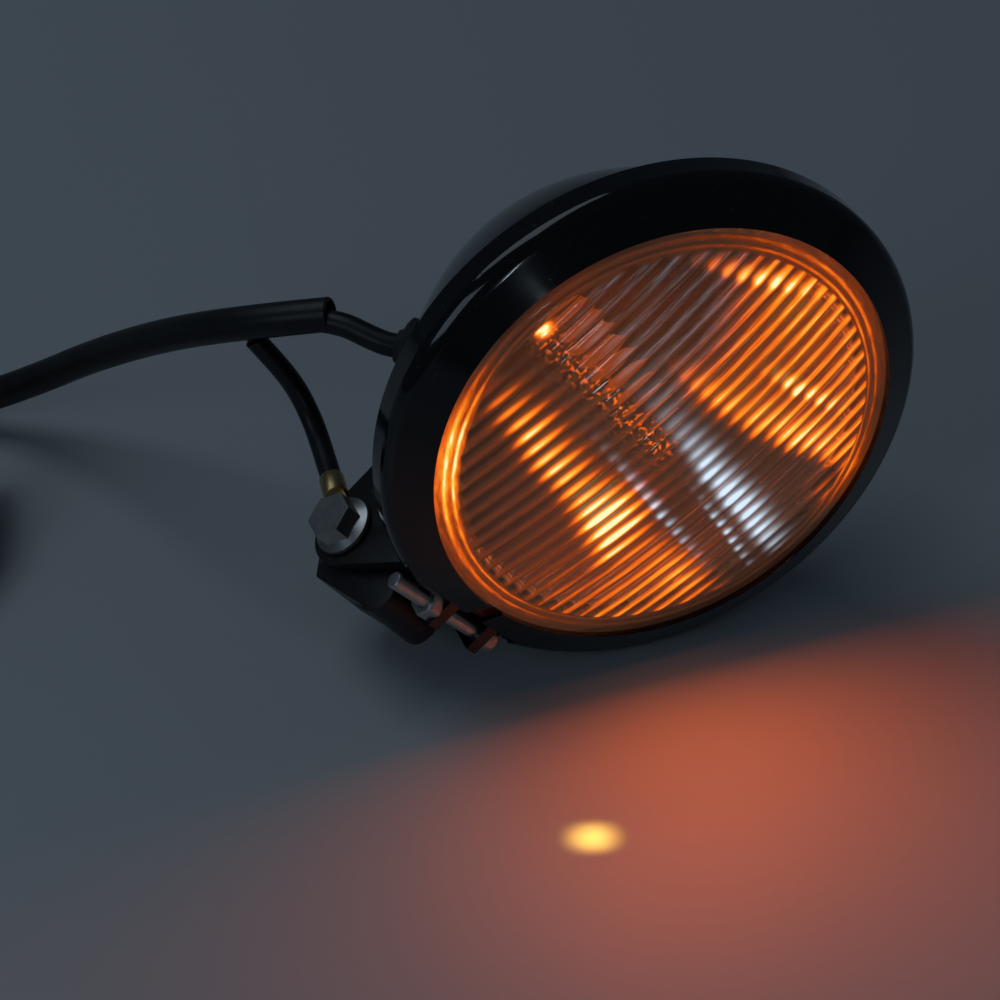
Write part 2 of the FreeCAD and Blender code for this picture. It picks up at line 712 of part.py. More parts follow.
def make_connector():
    """A two-way connector lying on the coil's lower turn, and its two bullets."""
    spot = Placement(Vector(size("coil_x"), size("coil_y"), 0), Rotation(Vector(0, 0, 1), -size("connector_turn")))
    body = new_body("lead_connector", spot)
    middle = Placement(Vector(0, 0, size("2 * sleeve_high + connector_high / 2")), Rotation())
    box = box_loop("coil_turn - 5.2", "0", "coil_turn + 5.2", "connector_long")
    padded(body, "XY_Plane", "connector_high", [box], offset=middle)
    bullets = []
    high = size("2 * sleeve_high + connector_high / 2")
    for side in (-2.5, 2.5):
        centre = Vector(size("coil_turn") + side, size("connector_long"), high)
        bullets.append(Part.makeCylinder(1.9, 9, centre, Vector(0, 1, 0)))
    feature_node("connector_bullets", Part.makeCompound(bullets), spot)


def make_inner_lead():
    """The live lead inside the bucket, from the grommet to the side of the push-on socket."""
    neck = bowl_normal(size("grommet_back"), size("grommet_turn"))
    inward = neck.Rotation.multVec(Vector(0, 0, -1))
    start = neck.Base + inward * 3.4
    lamp_points = [
        start,
        start + inward * 8,
        Vector(-18.0, 42.0, -15.5),
        Vector(-16.5, 49.5, -11.0),
        Vector(-15.5, 58.0, -6.5),
        Vector(-12.5, 63.2, -1.8),
        Vector(-4.2, 62.5, 0),
    ]
    make_cord("inner_lead", size("inner_wire"), [in_lamp().multVec(point) for point in lamp_points])


make_shell()
make_rim()
make_rim_screw()
make_rim_nut()
make_lens()
make_gasket()
make_reflector()
make_clips()
make_bulb()
make_bulb_clip()
make_receptacle()
make_grommet()
make_clevis()
make_clevis_bolts()
make_foot()
make_pivot()
make_earth_terminal()
make_leads()
make_coil()
make_connector()
make_inner_lead()
doc.recompute()

for item in doc.Objects:
    if "Invalid" in item.State or "Error" in item.State:
        raise RuntimeError(f"{item.Name} is {item.State}")
for node in nodes:
    if node.Shape.isNull() or not node.Shape.isValid():
        raise RuntimeError(f"{node.Label} has no valid shape")

os.makedirs("parts", exist_ok=True)
for node in nodes:
    node.Shape.exportStep(f"parts/{node.Label}.step")
    print(node.Label, len(node.Shape.Solids), "solid", round(node.Shape.Volume, 1))
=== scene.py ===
import json
import bmesh
import bpy
import numpy as np
from math import radians
from mathutils import Matrix, Vector


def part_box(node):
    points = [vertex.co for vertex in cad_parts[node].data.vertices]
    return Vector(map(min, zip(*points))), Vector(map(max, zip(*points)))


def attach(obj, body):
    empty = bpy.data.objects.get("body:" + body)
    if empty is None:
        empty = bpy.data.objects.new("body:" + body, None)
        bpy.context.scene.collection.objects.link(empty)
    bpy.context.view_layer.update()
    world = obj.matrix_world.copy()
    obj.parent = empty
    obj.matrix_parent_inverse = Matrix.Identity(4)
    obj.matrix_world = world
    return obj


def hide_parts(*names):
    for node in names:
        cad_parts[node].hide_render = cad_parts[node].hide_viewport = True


# A round bucket spot lamp lying on its side, lit amber.
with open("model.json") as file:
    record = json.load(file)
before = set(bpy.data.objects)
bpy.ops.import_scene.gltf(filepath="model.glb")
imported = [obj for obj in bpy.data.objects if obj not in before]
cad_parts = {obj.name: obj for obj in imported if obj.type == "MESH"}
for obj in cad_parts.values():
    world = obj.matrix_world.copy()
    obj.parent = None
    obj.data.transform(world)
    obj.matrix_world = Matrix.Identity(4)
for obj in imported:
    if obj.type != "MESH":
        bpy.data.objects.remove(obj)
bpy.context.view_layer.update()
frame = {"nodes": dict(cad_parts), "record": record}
nodes = frame["nodes"]
joints = {joint["name"]: joint for joint in frame["record"]["behaviour"]["joints"]}

# The lamp's own directions, read from the frame: the lens's middle, across along the pivot, and up away
# from the foot. Forward is -Y.
lensLow, lensHigh = (np.array(corner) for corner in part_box("front_lens"))
lensMiddle = (lensLow + lensHigh) / 2
lampMiddle = np.array([lensMiddle[0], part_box("trim_rim")[0][1], lensMiddle[2]])
across = np.array(joints["foot_tilt"]["axis"], float)
back = np.array([0.0, 1.0, 0.0])
upward = np.cross(across, back)


def fromLamp(points):
    # Lamp coordinates in mm, as (..., 3) of across, back, upward, to the frame's metres.
    points = np.asarray(points, float) / 1000
    return lampMiddle + points[..., :1] * across + points[..., 1:2] * back + points[..., 2:] * upward


print("frame loaded")

cameraSet = {
    "toCamera": (-0.3279, -0.7242, 0.6067),   # from the rim's middle
    "distance": 0.602,
    "imageUp": (0.22862, 0.58274, 0.77983),
    "backward": (-0.26813, -0.73456, 0.62340),
    "lens": 100.8,
}


def makeCamera(s):
    data = bpy.data.cameras.new("camera")
    camera = bpy.data.objects.new("camera", data)
    bpy.context.scene.collection.objects.link(camera)
    data.lens = s["lens"]
    data.sensor_width = 36
    data.clip_start = 0.01
    backward = Vector(s["backward"]).normalized()
    right = Vector(s["imageUp"]).cross(backward).normalized()
    turn = Matrix((right, backward.cross(right), backward)).transposed()
    camera.rotation_mode = "QUATERNION"
    camera.rotation_quaternion = turn.to_quaternion()
    camera.location = Vector(lampMiddle) + Vector(s["toCamera"]).normalized() * s["distance"]
    bpy.context.scene.camera = camera


makeCamera(cameraSet)
print("camera")

made = []   # (piece, slot) of every new surface, which get their materials at the end
meshSet = {"merge": 1e-6, "speck": 1e-7, "sharpAngle": 38}   # metres, metres, degrees


def addSurface(name, sheets, body, slotName, replaced=()):
    # One mesh from grids of points in metres; each is (points, wrap) and wrap closes its second way.
    verts, faces, start = [], [], 0
    for grid, wrap in sheets:
        rows, columns = grid.shape[:2]
        number = start + np.arange(rows * columns).reshape(rows, columns)
        right = np.roll(number, -1, 1) if wrap else number[:, 1:]
        here = number if wrap else number[:, :-1]
        quads = np.stack([here[:-1], right[:-1], right[1:], here[1:]], -1).reshape(-1, 4)
        verts.append(grid.reshape(-1, 3))
        faces.append(quads)
        start += rows * columns
    mesh = bpy.data.meshes.new(name)
    mesh.from_pydata(np.concatenate(verts).tolist(), [], np.concatenate(faces).tolist())
    mesh.validate()
    piece = bpy.data.objects.new(name, mesh)
    bpy.context.scene.collection.objects.link(piece)
    closeUp(mesh)
    made.append((piece, slotName))
    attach(piece, body)
    if replaced:
        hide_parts(*replaced)
    return piece


def closeUp(mesh):
    work = bmesh.new()
    work.from_mesh(mesh)
    bmesh.ops.remove_doubles(work, verts=work.verts, dist=meshSet["merge"])
    bmesh.ops.dissolve_degenerate(work, edges=work.edges, dist=meshSet["speck"])
    bmesh.ops.recalc_face_normals(work, faces=work.faces)
    work.to_mesh(mesh)
    work.free()
    mesh.polygons.foreach_set("use_smooth", np.full(len(mesh.polygons), True))
    mesh.set_sharp_from_angle(angle=radians(meshSet["sharpAngle"]))


def turnedSheet(profile, angles):
    # A profile of (radius, back) carried round the optical axis: x = r cos a, z = r sin a.
    profile = np.asarray(profile, float)
    r, y = profile[:, :1], profile[:, 1:]
    a = np.asarray(angles)[None, :]
    return np.stack([r * np.cos(a), y + 0 * a, r * np.sin(a)], -1)


# Routes in metres, as the tubes in the frame go.
leadASet = {
    "route": [
        (-0.0334, 0.0091, 0.0657), (-0.0398, 0.0138, 0.0662), (-0.0430, 0.0162, 0.0665),
        (-0.0514, 0.0266, 0.0688),
        (-0.0612, 0.0331, 0.0662),
    ],
    "thick": 0.0055, "length": 0.037,
}
leadBSet = {
    "route": [
        (-0.0564, 0.0154, 0.0323), (-0.0556, 0.0229, 0.0331), (-0.0556, 0.0302, 0.0374),
        (-0.0576, 0.0349, 0.0444),
        (-0.0615, 0.0364, 0.0519), (-0.0662, 0.0384, 0.0590),
    ],
    "thick": 0.005, "length": 0.041,
}
sleeveSet = {
    "route": [
        (-0.0509, 0.0269, 0.0692), (-0.0680, 0.0375, 0.0645), (-0.0815, 0.0600, 0.0500),
        (-0.0945, 0.0820, 0.0330),
        (-0.1085, 0.0990, 0.0170), (-0.1235, 0.1090, 0.0076), (-0.1390, 0.1130, 0.0041),
        (-0.1510, 0.1130, 0.0041),
    ],
    "thick": 0.008, "length": 0.66,
    "coilMiddle": (-0.179, 0.069), "coilTurn": 0.0443, "low": 0.0041, "high": 0.0123,
    "climb": (370, 425), "lastAngle": 700,
}

# mm: the bevel at each end, the part of the route it needs free, and the sleeve's mouth
cordShape = {
    "sides": 24, "bevelLong": 0.3, "bevelDeep": 0.4, "endClear": 1.0,
    "mouthDeep": 9.0, "mouthWall": 0.75, "mouthLip": 0.3,
}


def coilPoints(s):
    # Points round the coil, which climbs once onto its own first turn.
    angles = np.arange(100, s["lastAngle"] + 1, 20)
    rise = np.clip((angles - s["climb"][0]) / (s["climb"][1] - s["climb"][0]), 0, 1)
    rise = rise * rise * (3 - 2 * rise)
    height = s["low"] + rise * (s["high"] - s["low"])
    turn = np.radians(angles)
    x = s["coilMiddle"][0] + s["coilTurn"] * np.cos(turn)
    y = s["coilMiddle"][1] + s["coilTurn"] * np.sin(turn)
    return list(zip(x, y, height))


def routePath(points):
    # Points along the smooth line that the route's points pull.
    curve = bpy.data.curves.new("route", "CURVE")
    curve.dimensions = "3D"
    spline = curve.splines.new("NURBS")
    spline.points.add(len(points) - 1)
    for point, place in zip(spline.points, points):
        point.co = (*place, 1)
    spline.order_u = 3
    spline.use_endpoint_u = True
    spline.resolution_u = 10
    route = bpy.data.objects.new("route", curve)
    line = bpy.data.meshes.new_from_object(route)
    path = np.empty(len(line.vertices) * 3)
    line.vertices.foreach_get("co", path)
    bpy.data.objects.remove(route)
    bpy.data.meshes.remove(line)
    return path.reshape(-1, 3)


def makeCord(name, points, thick, mouth=False):
    # A round profile carried along the route: place = path(s) + r(s) (cos a side + sin a rise), where side
    # and rise turn with the path without twisting. A mouth is a pocket at the start.
    path = routePath(points)
    run = np.concatenate([[0], np.cumsum(np.linalg.norm(np.diff(path, axis=0), axis=1))])
    ahead = np.gradient(path, run, axis=0)
    ahead /= np.linalg.norm(ahead, axis=1)[:, None]
    side = np.empty_like(path)
    side[0] = np.cross(ahead[0], (0.1, 0.2, 1.0))
    for i in range(1, len(path)):
        side[i] = side[i - 1] - ahead[i] * (side[i - 1] @ ahead[i])
        side[i] /= np.linalg.norm(side[i])
    side[0] /= np.linalg.norm(side[0])
    size = {key: value * 0.001 for key, value in cordShape.items()}
    r, whole = thick / 2, run[-1]
    start = [(0, 0.0), (0, r - size["bevelDeep"])]
    if mouth:
        deep, bore = size["mouthDeep"], r - size["mouthWall"]
        start = [(deep, 0.0), (deep, bore), (0, bore), (0, r - size["mouthLip"])]
    inner = run[(run > size["endClear"]) & (run < whole - size["endClear"])]
    rings = start + [(size["bevelLong"], r)] + [(distance, r) for distance in inner]
    rings += [(whole - size["bevelLong"], r), (whole, r - size["bevelDeep"]), (whole, 0.0)]
    at, radius = np.array(rings).T
    centre, flank, forward = (
        np.stack([np.interp(at, run, values[:, k]) for k in range(3)], 1)
        for values in (path, side, ahead)
    )
    flank -= forward * (flank * forward).sum(1)[:, None] / (forward * forward).sum(1)[:, None]
    flank /= np.linalg.norm(flank, axis=1)[:, None]
    rise = np.cross(forward, flank)
    rise /= np.linalg.norm(rise, axis=1)[:, None]
    a = np.linspace(0, 2 * np.pi, cordShape["sides"], endpoint=False)[None, :, None]
    radius = radius[:, None, None]
    grid = centre[:, None] + radius * (np.cos(a) * flank[:, None] + np.sin(a) * rise[:, None])
    return addSurface(name, [(grid, True)], "lamp", "black_sheath"), path.tolist()


leadA, leadAPath = makeCord("leadA", leadASet["route"], leadASet["thick"])
leadB, leadBPath = makeCord("leadB", leadBSet["route"], leadBSet["thick"])
sleeve, sleevePath = makeCord("sleeve", sleeveSet["route"] + coilPoints(sleeveSet), sleeveSet["thick"], True)
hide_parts("lead_branch_a")
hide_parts("lead_branch_b")
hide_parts("cable_sleeve", "sleeve_coil")
print("cords")

studioSet = {
    "floor": (0.58, 0.61, 0.62),
    "worldColour": (0.50, 0.70, 1.0), "worldStrength": 0.035,
    # name: place, aimed at, size, power, colour, half angle of its beam
    "lights": {
        "topSoft": ((-0.5, 0.6, 1.3), (0, 0.05, 0.05), (1.0, 0.8), 2.0, (0.72, 0.86, 1.0), 90),
        "leftSoft": ((-1.2, -0.5, 0.7), (0, 0, 0.05), (0.7, 0.5), 0.9, (0.62, 0.80, 1.0), 90),
        "window": ((-0.26, -1.05, 0.28), (0.01, -0.04, 0.06), (0.02, 0.20), 0.16, (0.75, 0.88, 1.0), 90),
    },
    # amber light thrown by the lens onto the floor, and its hot spot there
    "spill": {"ahead": 6.0, "wide": 0.060, "power": 0.075, "colour": (1.0, 0.13, 0.006)},
    "spot": {
        "place": (0.02, -0.10, 0.25), "aim": (-0.0315, -0.0830, 0), "size": (0.002, 0.006),
        "power": 0.0004, "colour": (1.0, 0.55, 0.08), "angle": 1.2,
    },
    "floorSize": 12, "allRound": 90,
}


def addLight(name, place, aim, size, power, colour, spread):
    data = bpy.data.lights.new(name, "AREA")
    data.shape = "RECTANGLE"
    data.size, data.size_y = size
    data.energy = power
    data.color = colour
    data.spread = radians(2 * spread)
    lamp = bpy.data.objects.new(name, data)
    lamp.location = place
    lamp.rotation_mode = "QUATERNION"
    lamp.rotation_quaternion = (Vector(aim) - Vector(place)).to_track_quat("-Z", "Y")
    bpy.context.scene.collection.objects.link(lamp)
    return lamp


def makeStudio(s):
    bpy.ops.mesh.primitive_plane_add(size=s["floorSize"], location=(0, 0, 0))
    floor = bpy.context.object
    floor.name = "floor"
    for name, values in s["lights"].items():
        addLight(name, *values)
    spill, spot = s["spill"], s["spot"]
    place = fromLamp((0, -spill["ahead"], 0))
    disc = addLight("spill", place, place - back, (spill["wide"],) * 2, spill["power"], spill["colour"],
                    s["allRound"])
    disc.data.shape = "DISK"
    disc.visible_camera = disc.visible_glossy = disc.visible_transmission = False
    beam = addLight("hotSpot", spot["place"], spot["aim"], spot["size"], spot["power"], spot["colour"],
                    spot["angle"])
    beam.visible_camera = beam.visible_glossy = False
    world = bpy.data.worlds.new("studio")
    bpy.context.scene.world = world
    world.use_nodes = True
    sky = world.node_tree.nodes["Background"]
    sky.inputs["Color"].default_value = (*s["worldColour"], 1)
    sky.inputs["Strength"].default_value = s["worldStrength"]
    bpy.context.scene.view_settings.view_transform = "Standard"
    return floor


floor = makeStudio(studioSet)
print("studio")


class Sock:
    # A socket that adds Math nodes when it is worked with.

    def __init__(self, tree, socket):
        self.tree = tree
        self.socket = socket

    def maths(self, operation, *others, clamp=False):
        node = self.tree.nodes.new("ShaderNodeMath")
        node.operation = operation
        node.use_clamp = clamp
        for entry, value in zip(node.inputs, (self, *others)):
            if isinstance(value, Sock):
                self.tree.links.new(value.socket, entry)
            else:
                entry.default_value = value
        return Sock(self.tree, node.outputs[0])

    def __add__(self, other):
        return self.maths("ADD", other)

    def __radd__(self, other):
        return self.maths("ADD", other)

    def __sub__(self, other):
        return self.maths("SUBTRACT", other)

    def __rsub__(self, other):
        return self.maths("MULTIPLY", -1.0).maths("ADD", other)

    def __mul__(self, other):
        return self.maths("MULTIPLY", other)

    def __rmul__(self, other):
        return self.maths("MULTIPLY", other)

    def __truediv__(self, other):
        return self.maths("DIVIDE", other)

    def __pow__(self, other):
        return self.maths("POWER", other)

    def floor(self):
        return self.maths("FLOOR")

    def clamp(self):
        return self.maths("ADD", 0.0, clamp=True)

    def bell(self):
        return (self * self * -1.0).maths("EXPONENT")

    def step(self, low, high):
        # 0 below low, 1 above high and smooth between.
        node = self.tree.nodes.new("ShaderNodeMapRange")
        node.interpolation_type = "SMOOTHSTEP"
        self.tree.links.new(self.socket, node.inputs["Value"])
        node.inputs["From Min"].default_value = low
        node.inputs["From Max"].default_value = high
        return Sock(self.tree, node.outputs["Result"])


class Finish:
    # A material being made: its tree, its shader and one way to add any node.

    def __init__(self, name, **shader):
        self.material = bpy.data.materials.new(name)
        self.material.use_nodes = True
        self.tree = self.material.node_tree
        self.shader = self.tree.nodes["Principled BSDF"]
        for key, value in shader.items():
            socket = self.shader.inputs[key.replace("_", " ")]
            socket.default_value = (*value, 1) if isinstance(value, tuple) and len(value) == 3 else value

    def add(self, kind, settings=None, out=0, **values):
        node = self.tree.nodes.new("ShaderNode" + kind)
        for key, value in (settings or {}).items():
            if key == "stops":
                ramp = node.color_ramp
                while len(ramp.elements) < len(value):
                    ramp.elements.new(0.5)
                for element, (place, colour) in zip(ramp.elements, value):
                    element.position = place
                    element.color = (*colour, 1)
            else:
                setattr(node, key, value)
        for key, value in values.items():
            numbered = key[0] == "i" and key[1:].isdigit()   # i6 is the seventh input
            entry = node.inputs[int(key[1:]) if numbered else key.replace("_", " ")]
            if isinstance(value, Sock):
                self.tree.links.new(value.socket, entry)
            else:
                entry.default_value = value
        return Sock(self.tree, node.outputs[out])

    def place(self):
        return self.add("TexCoord", out=3)

    def noise(self, scale, detail=3.0, rough=0.5, vector=None):
        vector = vector or self.place()
        return self.add("TexNoise", Scale=scale, Detail=detail, Roughness=rough, Vector=vector)

    def ramp(self, value, stops):
        return self.add("ValToRGB", {"stops": stops}, Fac=value)

    def blend(self, factor, first, second):
        # Two colours mixed by a factor.
        values = {"i0": factor, "i6": first, "i7": second}
        values = {k: (*v, 1) if isinstance(v, tuple) else v for k, v in values.items()}
        return self.add("Mix", {"data_type": "RGBA"}, out=2, **values)

    def put(self, entry, value):
        self.tree.links.new(value.socket, self.shader.inputs[entry])

    def bump(self, height, distance, strength):
        self.put("Normal", self.add("Bump", Height=height, Distance=distance, Strength=strength))

    def lampPlace(self):
        # Across, back and upward from the lens's middle, in mm.
        near = self.add("VectorMath", {"operation": "SUBTRACT"}, i0=self.place(), i1=tuple(lampMiddle))
        along = []
        for direction in (across, back, upward):
            far = tuple(direction * 1000)
            along.append(self.add("VectorMath", {"operation": "DOT_PRODUCT"}, out=1, i0=near, i1=far))
        return along


def gloss(name, colour, rough, peel, dust):
    # Stove enamel: deep and glossy, with a slight orange peel, fine dust and faint wiping marks.
    f = Finish(name, IOR=1.5, Coat_Weight=0.35, Coat_Roughness=0.04)
    specks = f.noise(900, 2, 0.6).step(0.68, 0.76)
    wiped = f.noise(55, 4, 0.6, f.add("Mapping", Vector=f.place(), Scale=(1, 0.25, 1)))
    f.put("Base Color", f.blend(specks * dust, colour, (0.10, 0.10, 0.095)))
    f.put("Roughness", (wiped * 0.10 + (rough - 0.05) + specks * 0.35).clamp())
    f.bump(f.noise(260, 2) * peel + specks * 0.3, 0.00006, 0.35)
    return f.material


def satin(name, colour, rough, worn):
    # Satin paint with a fine tooth, thinner and greyer where it is rubbed.
    f = Finish(name, IOR=1.48)
    tooth = f.noise(1400, 3, 0.65)
    rubbed = (f.noise(160, 5, 0.7).step(0.60, 0.72) * worn).clamp()
    cloudy = f.noise(30, 3)
    paler = tuple(c * 1.7 + 0.003 for c in colour)
    f.put("Base Color", f.blend(rubbed, f.blend(cloudy, colour, paler), (0.32, 0.31, 0.3)))
    f.put("Metallic", rubbed * 0.8)
    f.put("Roughness", (tooth * 0.18 + (rough - 0.08) - rubbed * 0.1).clamp())
    f.bump(tooth, 0.00005, 0.5)
    return f.material


def plated(name, colour, rough, grain, stain):
    # Bright zinc plate: mottled, finely drawn, dulled in the low places.
    f = Finish(name, Metallic=1.0)
    mottle = f.noise(380, 4, 0.6)
    drawn = f.noise(2200, 2, 0.5, f.add("Mapping", Vector=f.place(), Scale=(1, 0.12, 1)))
    dull = f.noise(90, 3).step(0.5, 0.72) * stain
    darker = tuple(c * 0.8 for c in colour)
    f.put("Base Color", f.blend(dull, f.blend(mottle, colour, darker), (0.30, 0.28, 0.24)))
    f.put("Roughness", (mottle * 0.18 + drawn * 0.12 + (rough - 0.1) + dull * 0.25).clamp())
    f.bump(drawn * grain + mottle * 0.4, 0.00003, 0.4)
    return f.material


def moulded(name, colour, rough, tooth, sheen=0.0):
    # Rubber, vinyl or nylon: fine moulded tooth, slight bloom and dust.
    f = Finish(name, IOR=1.46, Sheen_Weight=sheen)
    fine = f.noise(1800, 3, 0.6)
    bloom = f.noise(70, 4, 0.6).step(0.4, 0.75)
    paler = tuple(c * 1.5 + 0.008 for c in colour)
    f.put("Base Color", f.blend(bloom * 0.5, colour, paler))
    f.put("Roughness", (fine * 0.15 + bloom * 0.12 + (rough - 0.12)).clamp())
    f.bump(fine * tooth + f.noise(240, 3) * 0.5, 0.00006, 0.45)
    return f.material


def lensFinish(s):
    # Pressed glass with painted light: the bulb's glow caught in its flutes and the window's reflections are
    # painted in as emission, worked out from the place on the lens.
    f = Finish("pressedGlassPaintedLight", IOR=1.5, Transmission_Weight=1.0, Roughness=0.02, Base_Color=s["tint"])
    x, depth, u = f.lampPlace()
    cell = (x / s["pitch"] + 0.5).floor()
    side = x / s["pitch"] - cell
    middle = cell * s["pitch"]
    chance = f.add("TexWhiteNoise", {"noise_dimensions": "1D"}, W=cell)
    other = f.add("TexWhiteNoise", {"noise_dimensions": "1D"}, W=cell + 0.37)
    radius = (x * x + u * u) ** 0.5
    field = 1 - radius.step(s["field"] - 0.5, s["field"] + 0.3)
    streaky = f.noise(1.0, 4, 0.65, f.add("CombineXYZ", X=x * 1.3, Y=u * 0.09, Z=chance * 9))
    speckle = f.noise(1.0, 2, 0.5, f.add("CombineXYZ", X=x * 0.95, Y=u * 0.8, Z=3.0))
    fine = f.noise(1.0, 2, 0.5, f.add("CombineXYZ", X=x * 3.4, Y=u * 0.11, Z=chance * 5))
    ridge = ((side - 0.08) / 0.26).bell()

    # painted glow: broad above the slanting band, dull brown through the middle, dim amber low down
    left = (x * 0.95 + u * 0.35).step(-16, 3)
    above = (u - x * 0.27).step(9, 16)
    upper = above * (left * 0.34 + (u - 24.0).step(0, 16) * 0.10)
    lower = (1 - u.step(-20, -11)) * ((x / 15 - 2.0).bell() * 0.22 + x.step(-20, 30) * 0.10 + 0.07)
    dull = ((u - 1) / 17).bell() * x.step(-42, -12) * 0.05 + 0.045
    broadPaintedGlow = (upper + lower) * (ridge * 1.15 + 0.22) * (streaky * 1.6 + 0.15) * (fine * 1.3 + 0.32)
    broadPaintedGlow = broadPaintedGlow + dull * (ridge * 0.6 + 0.65) * (fine * 1.2 + 0.4)

    def row(level, slope, centre, wide, long, strength, thin):
        # Painted streaks of light, one to a flute, along a line across them, longer above it than below.
        off = u - (middle * slope + level + (other - 0.5) * long * 0.5)
        off = off / (off.step(-0.5, 0.5) * long * 0.8 + long * 0.75)
        near = ((middle - centre) / wide).bell() * (chance * 0.5 + 0.72) * strength
        return off.bell() * (side / thin).bell() * near

    # painted amber hot streaks of the bulb's light, row by row
    hot = None
    for values in s["paintedGlowRows"]:
        hot = row(*values) if hot is None else hot + row(*values)
    # painted glow: bright beads where the flutes end at the field's left edge, and one bright spot there
    paintedBeadGlow = ((u + 1.0) / 3.6).bell() * (1 - x.step(-5, 4)) * x.step(-49, -46) * speckle.step(0.50, 0.66)
    paintedBeadGlow = paintedBeadGlow * (streaky * 0.5 + 0.12)
    paintedEdgeSpot = ((x + 46.3) / 1.5).bell() * ((u + 0.4) / 2.0).bell() * 1.1
    paintedFieldGlow = field * (broadPaintedGlow + hot + paintedBeadGlow + paintedEdgeSpot)

    # painted glow on the plain border: two bright rings, brightest low on the left
    angle = u.maths("ARCTAN2", x)
    around = ((angle + 2.40) / 0.34).bell() * 0.72 + ((angle + 1.75) / 0.6).bell() * 0.26
    around = around + ((angle - 0.50) / 0.20).bell() * 0.30 + ((angle - 1.5) / 0.75).bell() * 0.30 + 0.08
    ripple = f.noise(1.0, 3, 0.6, f.add("CombineXYZ", X=radius * 1.1, Y=angle * 9, Z=1.0))
    rings = ((radius - 48.4) / 0.35).bell() * 0.8 + ((radius - 50.3) / 0.5).bell() * 0.7 + 0.55
    border = (1 - field) * (1 - radius.step(52.7, 53.4)) * around * rings * (ripple * 1.3 + 0.25)

    # painted reflections of the window: pale blue streaks across the flutes, and more towards the upper left
    paintedReflection = None
    for values in s["paintedReflectionRows"]:
        paintedReflection = row(*values) if paintedReflection is None else paintedReflection + row(*values)
    grey = (x * 0.95 + u * 0.35 - 3).step(-16, 0)
    paintedReflection = paintedReflection + (1 - grey) * u.step(1, 6) * (streaky - 0.42).maths("MAXIMUM", 0.0) * ridge * 0.5
    paintedReflection = (paintedReflection * field).clamp()

    # the painted amber glow, under the painted reflections, goes on the front face only, as emission
    front = 1 - (depth - radius * radius / 440.0).step(-3.4, -2.4)
    amber = f.ramp(((paintedFieldGlow + border) * front).clamp(), s["stops"])
    f.put("Emission Color", f.blend(paintedReflection * front, amber, s["paintedReflectionColour"]))
    f.shader.inputs["Emission Strength"].default_value = s["strength"]
    return f.material


glassSet = {
    # the last entry is the colour of the painted reflections of the window
    "pitch": 3.7, "field": 47.5, "strength": 1.0, "tint": (0.52, 0.40, 0.33), "paintedReflectionColour": (0.66, 0.84, 1.0),
    "stops": [
        (0.0, (0.0, 0.0, 0.0)), (0.09, (0.040, 0.019, 0.011)), (0.22, (0.17, 0.026, 0.004)),
        (0.40, (0.78, 0.110, 0.005)), (0.64, (1.0, 0.33, 0.012)), (0.84, (1.0, 0.62, 0.09)),
        (1.0, (1.0, 0.93, 0.50)),
    ],
    # rows of painted streaks: first the bulb's amber light, then the window's reflections
    # level at x = 0, slope, middle of the row, half width, half length, strength, half width of a streak
    "paintedGlowRows": [
        (-22.8, -0.13, 3, 8, 5.6, 1.65, 0.27),
        (-22.8, -0.13, -16, 15, 4.2, 0.85, 0.26),
        (-19.5, -0.02, -34, 9, 4.6, 0.50, 0.22),
        (25.3, 0.25, 13, 9, 1.5, 0.95, 0.28),
        (13.6, 0.30, 22, 17, 3.6, 0.55, 0.34),
        (14.5, 0.10, -8, 9, 2.0, 0.42, 0.34),
        (46.5, 0.46, -17, 12, 1.7, 0.75, 0.36),
        (-21.0, 0.02, 30, 9, 6.5, 0.22, 0.30),
        (17.0, 0.0, 44, 5, 4.0, 0.40, 0.30),
    ],
    # painted reflections of the window, pale blue streaks across the flutes
    "paintedReflectionRows": [
        (3.0, -0.075, 23, 21, 2.3, 1.75, 0.26),
        (-11.0, -0.085, 8, 15, 0.9, 0.80, 0.20),
        (-1.2, -0.135, 30, 11, 0.8, 0.95, 0.20),
    ],
}


def mirrorFinish():
    # Aluminised reflector, slightly uneven, with the bulb's light painted on as an amber glow towards its
    # neck.
    f = Finish("mirrorMetalPaintedGlow", Metallic=1.0, Base_Color=(0.20, 0.15, 0.12))
    x, _, u = f.lampPlace()
    radius = (x * x + u * u) ** 0.5
    uneven = f.noise(120, 3)
    # painted glow of the bulb's light, brightest towards the neck
    paintedBulbGlow = (1 - radius.step(8, 52)) * (uneven * 0.6 + 0.7)
    f.put("Roughness", (uneven * 0.16 + 0.26).clamp())
    stops = [(0.0, (0.030, 0.007, 0.001)), (0.5, (0.25, 0.05, 0.004)), (1.0, (0.9, 0.25, 0.02))]
    f.put("Emission Color", f.ramp((paintedBulbGlow * 0.8).clamp(), stops))
    f.shader.inputs["Emission Strength"].default_value = 0.12
    f.bump(uneven, 0.0002, 0.25)
    return f.material


def amberFinish():
    f = Finish("amberGlass", Base_Color=(1.0, 0.45, 0.06), Roughness=0.12, IOR=1.45)
    coat = f.noise(300, 3)
    f.put("Emission Color", f.ramp(coat, [(0.3, (1.0, 0.13, 0.006)), (0.7, (1.0, 0.26, 0.015))]))
    f.shader.inputs["Emission Strength"].default_value = 0.35
    return f.material


def floorFinish():
    f = Finish("tableTop", Roughness=0.38, IOR=1.45)
    cloudy = f.noise(3.0, 3)
    a, b = studioSet["floor"], tuple(c * 0.94 for c in studioSet["floor"])
    f.put("Base Color", f.blend(cloudy, a, b))
    return f.material


